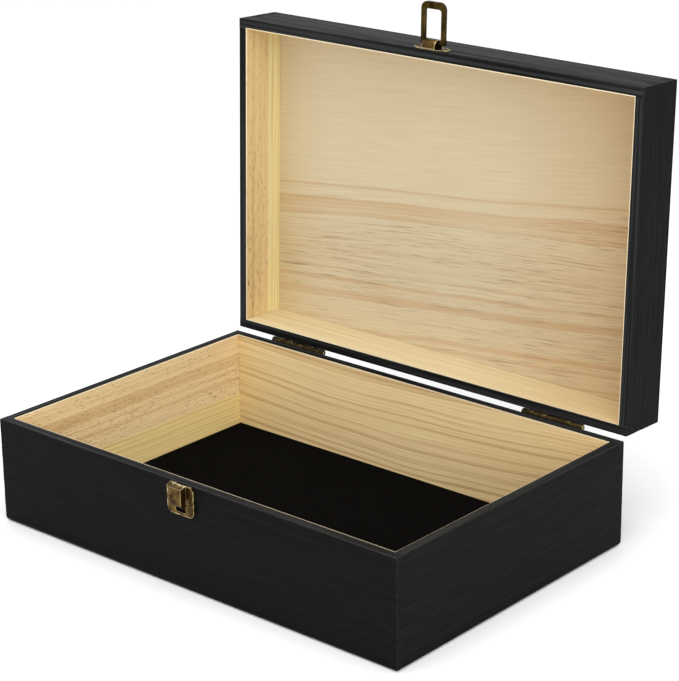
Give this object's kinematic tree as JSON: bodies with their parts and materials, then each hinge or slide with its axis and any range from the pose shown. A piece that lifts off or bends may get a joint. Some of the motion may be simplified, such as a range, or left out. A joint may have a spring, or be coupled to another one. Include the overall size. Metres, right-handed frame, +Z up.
{
  "type": "enamel pin display case",
  "caption": "Hinged rectangular wooden display case with finger-jointed corners, felt floor, open hinged lid and a hasp latch at the front.",
  "frame": {"origin": "centre of the flat underside", "axes": "+X along the long front, to the right seen from the front; +Y from front to back; +Z up"},
  "size_m": [0.3, 0.2492, 0.2935],
  "materials": {
    "stained_pine": "black stained pine outside and on the rims, bare pale pine on the inside faces",
    "felt": "black felt",
    "antique_bronze": "antique bronze plating, dark in the recesses and worn bright on the edges"
  },
  "bodies": {
    "base": {"bottom_panel": "stained_pine", "base_front_wall": "stained_pine", "base_back_wall": "stained_pine", "base_left_wall": "stained_pine", "base_right_wall": "stained_pine", "felt_liner": "felt", "left_hinge_base_leaf": "antique_bronze", "right_hinge_base_leaf": "antique_bronze", "left_hinge_pin": "antique_bronze", "right_hinge_pin": "antique_bronze", "base_hinge_screws": "antique_bronze", "catch_plate": "antique_bronze", "catch_screws": "antique_bronze"},
    "lid": {"lid_top_panel": "stained_pine", "lid_front_wall": "stained_pine", "lid_back_wall": "stained_pine", "lid_left_wall": "stained_pine", "lid_right_wall": "stained_pine", "left_hinge_lid_leaf": "antique_bronze", "right_hinge_lid_leaf": "antique_bronze", "lid_hinge_screws": "antique_bronze", "hasp_plate": "antique_bronze", "hasp_screws": "antique_bronze"},
    "loop": {"hasp_loop": "antique_bronze"}
  },
  "joints": [
    {"name": "lid_hinge", "type": "hinge", "parent": "base", "child": "lid", "pos_m": [0, 0.1021, 0.06407], "axis": [1, 0, 0], "range_deg": [0, 92.1]},
    {"name": "loop_swing", "type": "hinge", "parent": "lid", "child": "loop", "pos_m": [-0.0012, 0.11531, 0.26958], "axis": [1, 0, 0], "range_deg": [-95, 91.5]}
  ]
}
